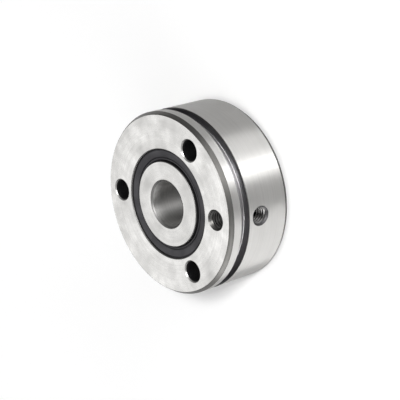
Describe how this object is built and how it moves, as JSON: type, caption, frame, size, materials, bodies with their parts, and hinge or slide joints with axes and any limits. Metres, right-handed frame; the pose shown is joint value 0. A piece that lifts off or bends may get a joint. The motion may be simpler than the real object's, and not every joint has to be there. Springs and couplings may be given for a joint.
{
  "type": "double-direction thrust ball bearing",
  "caption": "Ring-shaped bearing with a shaft bore, a split inner ring, lip seals, an outer ring with screw holes, a groove round its rim and threaded lubrication ports.",
  "frame": {"origin": "centre of the mounting face, where the bearing's axis meets the surface it rests on", "axes": "+Z along the bearing's axis, from the mounting face to the face with the lubrication port; +X towards the two ports"},
  "size_m": [0.06, 0.06, 0.025],
  "materials": {
    "outer_ring": "ground, bright",
    "inner_ring": "ground, bright",
    "seal": "moulded, dull",
    "cage": "moulded, satin",
    "ball": "polished"
  },
  "bodies": {
    "outer": {"outer_ring": "outer_ring", "front_seal": "seal", "rear_seal": "seal"},
    "inner": {"front_inner_ring": "inner_ring", "rear_inner_ring": "inner_ring"},
    "front_row": {"front_cage": "cage", "front_ball_01": "ball", "front_ball_02": "ball", "front_ball_03": "ball", "front_ball_04": "ball", "front_ball_05": "ball", "front_ball_06": "ball", "front_ball_07": "ball", "front_ball_08": "ball", "front_ball_09": "ball", "front_ball_10": "ball", "front_ball_11": "ball", "front_ball_12": "ball"},
    "rear_row": {"rear_cage": "cage", "rear_ball_01": "ball", "rear_ball_02": "ball", "rear_ball_03": "ball", "rear_ball_04": "ball", "rear_ball_05": "ball", "rear_ball_06": "ball", "rear_ball_07": "ball", "rear_ball_08": "ball", "rear_ball_09": "ball", "rear_ball_10": "ball", "rear_ball_11": "ball", "rear_ball_12": "ball"}
  },
  "joints": [
    {"name": "inner_spin", "type": "hinge", "parent": "outer", "child": "inner", "pos_m": [0, 0, 0.0125], "axis": [0, 0, 1], "continuous": true},
    {"name": "front_row_travel", "type": "hinge", "parent": "outer", "child": "front_row", "pos_m": [0, 0, 0.017], "axis": [0, 0, 1], "continuous": true},
    {"name": "rear_row_travel", "type": "hinge", "parent": "outer", "child": "rear_row", "pos_m": [0, 0, 0.008], "axis": [0, 0, 1], "continuous": true}
  ],
  "couplings": [
    {"joint": "front_row_travel", "follows": "inner_spin", "ratio": 0.44619},
    {"joint": "rear_row_travel", "follows": "inner_spin", "ratio": 0.44619}
  ]
}
